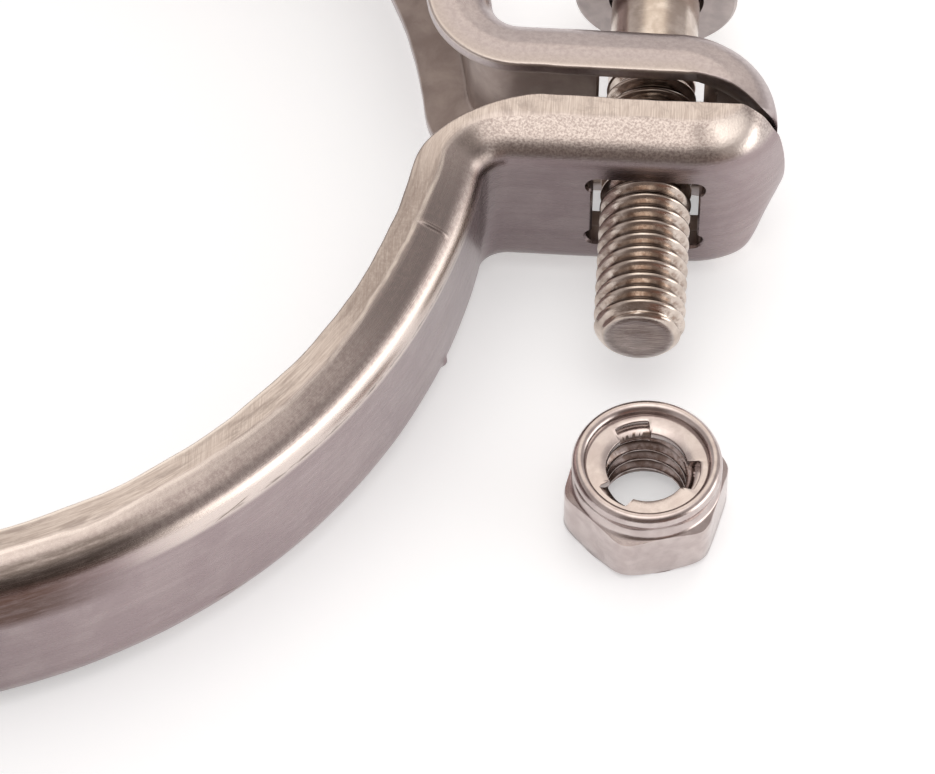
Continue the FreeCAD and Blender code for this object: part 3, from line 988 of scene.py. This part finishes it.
def sheet_colour(g, near):
    """Colour of the web and the shoulders."""
    cloud = g.noise(g.place, 0.22, 4, 0.6, 0.4)
    web = g.mix(g.fit(cloud, 0.35, 0.65), (0.325, 0.258, 0.264), (0.37, 0.303, 0.304))
    web = g.mix(g.fit(g.drawn_out(0.025, 0.8, 2, 0.5), 0.42, 0.62, 0.0, 0.35), web, (0.28, 0.218, 0.222))
    speckled = g.fit(g.speckle, 0.35, 0.65)
    if near:
        web = g.shade(web, g.product(*(g.fit(g.run, *step) for step in WEB_TONES)))
        shoulder = g.mix(speckled, (0.35, 0.29, 0.275), (0.45, 0.388, 0.365))
        # the lug's shoulder has a coarser grain in a brighter colour than the ring's: the grain is its own, and the
        # extra brightness is a painted highlight
        lug_shoulder = g.mix(g.fit(g.grain, 0.35, 0.65), (0.36, 0.30, 0.28), (0.60, 0.53, 0.495))
        shoulder = g.mix(g.on_lug, shoulder, lug_shoulder)
    else:
        shoulder = g.mix(speckled, (0.43, 0.37, 0.37), (0.51, 0.45, 0.445))
    return g.mix(g.on_shoulder, web, shoulder)


def near_wear_and_painted_light(g, colour, broken):
    """Lays wear and painted light over the near half's colour: ring bands, a scratch, soil, and painted shade and
    highlight at root and tip.
    """
    # painted highlight, painted dark reflection and painted shade along the ring, and a broken dark line
    colour = g.lay(colour, RING_PAINTED_LIGHT_AND_WEAR, g.run, broken)
    run_in = g.math("SUBTRACT", g.run, SCRATCH_START)
    slant = g.math("SUBTRACT", g.around, g.product(run_in, SCRATCH_SLOPE))
    scratch = g.product(g.window(slant, 5.68, 5.82, 0.06), g.window(run_in, 0.2, 3.4, 0.5), 0.8)
    colour = g.mix(scratch, colour, (0.14, 0.10, 0.07))
    soil = g.product(g.fit(g.around, 9.3, 10.3), g.at_root, g.fit(g.speckle, 0.3, 0.62, 0.1, 0.5))
    colour = g.mix(soil, colour, (0.115, 0.095, 0.095))
    leg = g.product(g.fit(g.around, 11.0, 11.8), g.fit(g.run, 140.0, 150.0, 1.0, 0.0), 0.5)
    colour = g.mix(leg, colour, (0.58, 0.51, 0.47))
    ragged = g.math("ADD", g.run, g.product(g.math("SUBTRACT", g.speckle, 0.5), 1.6))
    # painted shade in the crease at the root and in the dip by the tip, and a painted highlight by the tip
    return g.lay(colour, PRESS_SHADE_AND_HIGHLIGHT, ragged, g.grain)


def near_facet(g):
    """How far past the near facet's wandering border a point lies, with the facet's scratches and colour."""
    wander = g.math("SUBTRACT", g.noise(g.vector(g.run, g.around, g.up), 0.14, 3, 0.5), 0.5)
    border = g.math("ADD", g.product(wander, 1.5), FACET_DEPTH - 0.1)
    border = g.math("ADD", border, g.product(g.at_root, 0.45))
    past = g.math("SUBTRACT", g.depth, border)

    # scratches run round on the ring and slant on patches of it and at the root; they cross the lug
    crosswise = g.noise(g.scaled(g.place, (14.0, 0.45, 1.0)), 1.0, 2, 0.7, 0.15)
    at_slant = g.slanting(-24, 12.0)
    patches = g.fit(g.noise(g.place, 0.12, 2, 0.5), 0.48, 0.62, 0.0, 0.8)
    scratches = g.blend(patches, g.ring_lines, g.slanting(-60, 9.0))
    scratches = g.blend(g.at_root, scratches, at_slant)
    scratches = g.blend(g.on_lug, scratches, g.blend(0.8, at_slant, crosswise))

    colour = g.mix(g.fit(scratches, 0.34, 0.66), (0.48, 0.405, 0.37), (0.71, 0.63, 0.585))
    patchy = g.blend(g.off_lug, g.noise(g.place, 0.55, 5, 0.7, 0.6), g.drawn_out(0.16, 1.5, 5, 0.75, 0.3))
    mottled = g.product(g.fit(patchy, 0.48, 0.64), g.math("ADD", 0.45, g.product(g.off_lug, 0.25)))
    colour = g.mix(mottled, colour, (0.32, 0.265, 0.245))
    dimmer = g.math("ADD", g.product(g.off_lug, 0.2), g.fit(g.run, 108.0, 128.0, 0.3, 0.0))
    colour = g.mix(dimmer, colour, (0.27, 0.225, 0.205))
    soiled = g.product(g.at_root, g.fit(g.speckle, 0.3, 0.6, 0.35, 0.65))
    return past, scratches, g.mix(soiled, colour, (0.26, 0.21, 0.19))


def sheet_material(name, near):
    """Pressed stainless sheet: satin web, grainy shoulders, facets along the rims and a stained inside.

    The near half has ground facets, marks of wear and painted light, and the far half has its rims as drawn; both have
    a painted highlight along the rim's edge.
    """
    material = bpy.data.materials.new(name)
    g = SheetGraph(material)
    colour = sheet_colour(g, near)
    # painted highlight: a thin band along the cut edge of the rims is made lighter
    rim = g.product(g.fit(g.depth, CHANNEL_DEPTH - 0.5, CHANNEL_DEPTH - 0.12), g.on_level)
    if near:
        broken = g.drawn_out(0.35, 2.0, 4, 0.6)
        colour = near_wear_and_painted_light(g, colour, broken)
        past, scratches, facet_colour = near_facet(g)
        facet = g.product(g.fit(past, -0.08, 0.12), g.on_level)
        colour = g.mix(facet, colour, facet_colour)
        # painted highlight: a lighter broken line along the facet's border on the ring
        border = g.product(g.window(past, -0.3, 0.02, 0.1), g.on_level, g.off_lug, g.fit(broken, 0.3, 0.6, 0.2, 0.65))
        colour = g.mix(border, colour, (0.66, 0.59, 0.545))
        # the near rim's painted highlight fades towards the lug and is left off it
        rim = g.product(rim, g.fit(g.run, 140.0, 152.0, 1.0, 0.15), g.off_lug)
        colour = g.mix(rim, colour, (0.84, 0.77, 0.72))
    else:
        scratches = g.ring_lines
        facet = g.product(g.fit(g.depth, CHANNEL_DEPTH - 1.6, CHANNEL_DEPTH - 0.3), g.on_level)
        facet_colour = g.mix(g.fit(g.grain, 0.3, 0.7), (0.44, 0.38, 0.36), (0.52, 0.455, 0.435))
        colour = g.mix(facet, colour, facet_colour)
        # painted highlight along the far rim's edge
        colour = g.mix(rim, colour, (0.62, 0.55, 0.51))
    stain = g.noise(g.place, 0.30, 4, 0.6, 0.3)
    inside_colour = g.mix(g.fit(stain, 0.32, 0.7), (0.34, 0.275, 0.25), (0.46, 0.385, 0.35))
    colour = g.mix(g.inside, colour, inside_colour)

    # roughness, and the height that the bump follows
    drawn = g.drawn_out(0.10, 5.0, 4, 0.6)
    lug_shoulder = g.product(g.on_shoulder, g.on_lug)
    rough = g.blend(lug_shoulder, g.math("ADD", 0.22, g.product(drawn, 0.10)), 0.32)
    rough = g.blend(facet, rough, g.math("ADD", 0.26, g.product(scratches, 0.16)))
    rough = g.blend(g.inside, rough, 0.42)
    grainy = g.product(g.grain, g.math("ADD", 0.35, g.product(lug_shoulder, 0.9)))
    height = g.math("ADD", g.product(drawn, 0.3), grainy)
    if near:
        height = g.blend(facet, height, g.math("ADD", g.product(scratches, 1.3), g.product(g.grain, 0.3)))
    height = g.blend(g.inside, height, g.product(stain, 1.5))
    g.metal(colour, rough, g.bump(height, 0.5, 0.00004))
    return material


def turned_material(name, low, high, roughness, line_axis, line_scale=6.0, groove_soil_and_shade=0.0, end=None):
    """Turned or rolled steel: fine lines round its axis, small blotches, soiled thread flanks and painted shade at the
    thread roots.

    The grooves' share sets both the soil on the flanks and the painted shade at the roots, and end is the y below
    which the sawn end of the bolt starts.
    """
    material = bpy.data.materials.new(name)
    g = Graph(material)
    place = millimetres(g)
    factors = [0.25, 0.25, 0.25]
    factors[line_axis] = line_scale
    lines = g.noise(g.scaled(place, tuple(factors)), 1.0, 3, 0.6)
    grain = g.noise(place, 6.0, 3, 0.6)
    cloud = g.noise(place, 0.7, 3, 0.5, 0.3)
    colour = g.mix(g.fit(cloud, 0.3, 0.7), low, high)
    colour = g.mix(g.fit(lines, 0.55, 0.75, 0.0, 0.25), colour, tuple(0.75 * c for c in low))
    height = g.math("ADD", g.product(lines, 0.6), g.product(grain, 0.5))
    if groove_soil_and_shade:
        groove = g.attribute("groove")
        blotch = g.noise(place, 1.5, 4, 0.65)
        # soil in blotches on the thread flanks
        flank = g.product(g.fit(groove, 0.10, 0.6), g.fit(blotch, 0.42, 0.62, 0.0, 0.75), groove_soil_and_shade)
        colour = g.mix(flank, colour, (0.25, 0.165, 0.125))
        # painted shade darkens the thread roots
        colour = g.mix(g.fit(groove, 0.72, 0.97, 0.0, groove_soil_and_shade), colour, (0.075, 0.05, 0.038))
    rough = g.math("ADD", roughness, g.product(g.math("SUBTRACT", grain, 0.5), 0.12))
    if end is not None:
        on_end = g.fit(g.split(place)[1], end - 0.1, end + 0.02, 1.0, 0.0)
        sawn = g.noise(g.scaled(place, (0.5, 1.0, 9.0)), 1.0, 4, 0.7, 0.8)
        end_colour = g.mix(g.fit(sawn, 0.35, 0.65), (0.23, 0.195, 0.185), (0.42, 0.375, 0.355))
        colour = g.mix(on_end, colour, end_colour)
        height = g.blend(on_end, height, g.product(sawn, 2.0))
    g.metal(colour, rough, g.bump(height, 0.4, 0.00003))
    return material


def floor_material():
    """White paper, lit a little from below as on a light table."""
    material = bpy.data.materials.new("pale_floor")
    g = Graph(material)
    shader = g.node("ShaderNodeBsdfPrincipled")
    place = g.node("ShaderNodeTexCoord").outputs["Object"]
    tone = g.mix(g.noise(place, 9.0, 3, 0.5), (0.89, 0.92, 0.96), (0.90, 0.93, 0.97))
    g.put(shader.inputs["Base Color"], tone)
    shader.inputs["Roughness"].default_value = 0.9
    shader.inputs["Specular IOR Level"].default_value = 0.0
    shader.inputs["Emission Color"].default_value = (1.0, 1.0, 1.0, 1.0)
    shader.inputs["Emission Strength"].default_value = FLOOR_GLOW
    g.finish(shader, "ShaderNodeOutputMaterial")
    return material


def wear(obj, material):
    obj.data.materials.clear()
    obj.data.materials.append(material)


# Pieces

near_band = Band(NEAR_TIP_START, NEAR_TIP_END, near_rim, root_trim_circle(), NEAR_MARKS)
far_band = Band(FAR_TIP_START, FAR_TIP_END, far_rim)
near_piece = half_band("near_half_band_visual", "near_half", near_band, -1,
                       ((-WEB_FLAT_HALF, -NEAR_TONGUE), (NEAR_TONGUE, WEB_FLAT_HALF)), NEAR_SEED)
far_piece = half_band("far_half_band_visual", "far_half", far_band, 1, ((-FAR_TONGUE, FAR_TONGUE),), FAR_SEED)
bolt = bolt_piece()
nut = nut_piece()
lock_ring = lock_ring_piece()

wear(near_piece, sheet_material("near_stainless", True))
wear(far_piece, sheet_material("far_stainless", False))
wear(bolt, turned_material("bolt_steel_worn", (0.50, 0.42, 0.365), (0.68, 0.60, 0.54), 0.18, 1, groove_soil_and_shade=0.95,
                           end=BOLT_END_Y + 0.12))
wear(nut, turned_material("nut_steel_satin", (0.50, 0.425, 0.41), (0.60, 0.525, 0.505), 0.2, 2, 1.2, groove_soil_and_shade=0.9))
wear(lock_ring, turned_material("ring_steel_satin", (0.56, 0.485, 0.465), (0.65, 0.575, 0.55), 0.24, 0, 0.5))
for node, settings in (("hinge_pin", ("pin_steel", (0.55, 0.50, 0.46), (0.66, 0.60, 0.56), 0.30, 2)),
                       ("bolt_washer", ("washer_zinc", (0.44, 0.39, 0.38), (0.55, 0.49, 0.47), 0.42, 1))):
    wear(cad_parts[node], turned_material(*settings))


# Floor, light and camera

def make_floor():
    corners = [(x * FLOOR_HALF, y * FLOOR_HALF, TABLE_Z) for x, y in ((-1, -1), (1, -1), (1, 1), (-1, 1))]
    floor = linked_mesh("floor", corners, [(0, 1, 2, 3)])
    floor.data.materials.append(floor_material())


def make_world():
    """Studio surround: a gradient that brightens overhead, with soft cards at the sides and behind."""
    world = bpy.data.worlds.new("studio")
    bpy.context.scene.world = world
    g = Graph(world)
    x, y, z = g.split(g.node("ShaderNodeTexCoord").outputs["Generated"])
    height = g.product(g.math("ARCSINE", z), 180 / math.pi)
    heading = g.product(g.math("ARCTAN2", x, g.product(y, -1.0)), 180 / math.pi)
    ramp = g.node("ShaderNodeValToRGB")
    ramp.color_ramp.interpolation = "B_SPLINE"
    elements = ramp.color_ramp.elements
    while len(elements) < len(SKY):
        elements.new(0.5)
    for element, (degrees, colour) in zip(elements, SKY):
        element.position = (degrees + 90) / 180
        element.color = (*(c / LIGHT_PEAK for c in colour), 1)
    g.put(ramp.inputs[0], g.math("DIVIDE", g.math("ADD", height, 90.0), 180.0))
    colour = ramp.outputs["Color"]
    for card_heading, half_width, card_height, half_height, soft, card_colour in CARDS:
        turn = g.math("SUBTRACT", heading, card_heading)
        turn = g.math("ABSOLUTE", g.math("WRAP", turn, 180.0, -180.0))
        rise = g.math("ABSOLUTE", g.math("SUBTRACT", height, card_height))
        card = g.product(g.fit(turn, half_width - soft, half_width + soft, 1.0, 0.0),
                         g.fit(rise, half_height - soft, half_height + soft, 1.0, 0.0))
        colour = g.mix(card, colour, tuple(c / LIGHT_PEAK for c in card_colour))
    background = g.node("ShaderNodeBackground")
    g.put(background.inputs["Color"], colour)
    background.inputs["Strength"].default_value = LIGHT_PEAK
    g.finish(background, "ShaderNodeOutputWorld")


def make_camera():
    """The photograph's view: from the front, 55 degrees above the table."""
    azimuth, elevation, roll = (math.radians(angle) for angle in CAMERA_ANGLES)
    back = Vector((math.sin(azimuth) * math.cos(elevation), -math.cos(azimuth) * math.cos(elevation),
                   math.sin(elevation)))
    level_right = Vector((math.cos(azimuth), math.sin(azimuth), 0))
    level_up = back.cross(level_right)
    right = level_right * math.cos(roll) + level_up * math.sin(roll)
    up = level_up * math.cos(roll) - level_right * math.sin(roll)
    data = bpy.data.cameras.new("camera")
    data.sensor_width = 36.0
    data.lens = data.sensor_width * PIXELS_PER_MM * CAMERA_DISTANCE / PICTURE_WIDTH
    data.clip_start = 0.1
    data.clip_end = 10.0
    camera = bpy.data.objects.new("camera", data)
    bpy.context.scene.collection.objects.link(camera)
    place = (right * TARGET_RIGHT + up * TARGET_UP + back * CAMERA_DISTANCE) * MM
    turn = Matrix((right, up, back)).transposed().to_4x4()
    camera.matrix_world = Matrix.Translation(place) @ turn
    bpy.context.scene.camera = camera


make_floor()
make_world()
make_camera()
bpy.context.scene.view_settings.view_transform = "Standard"
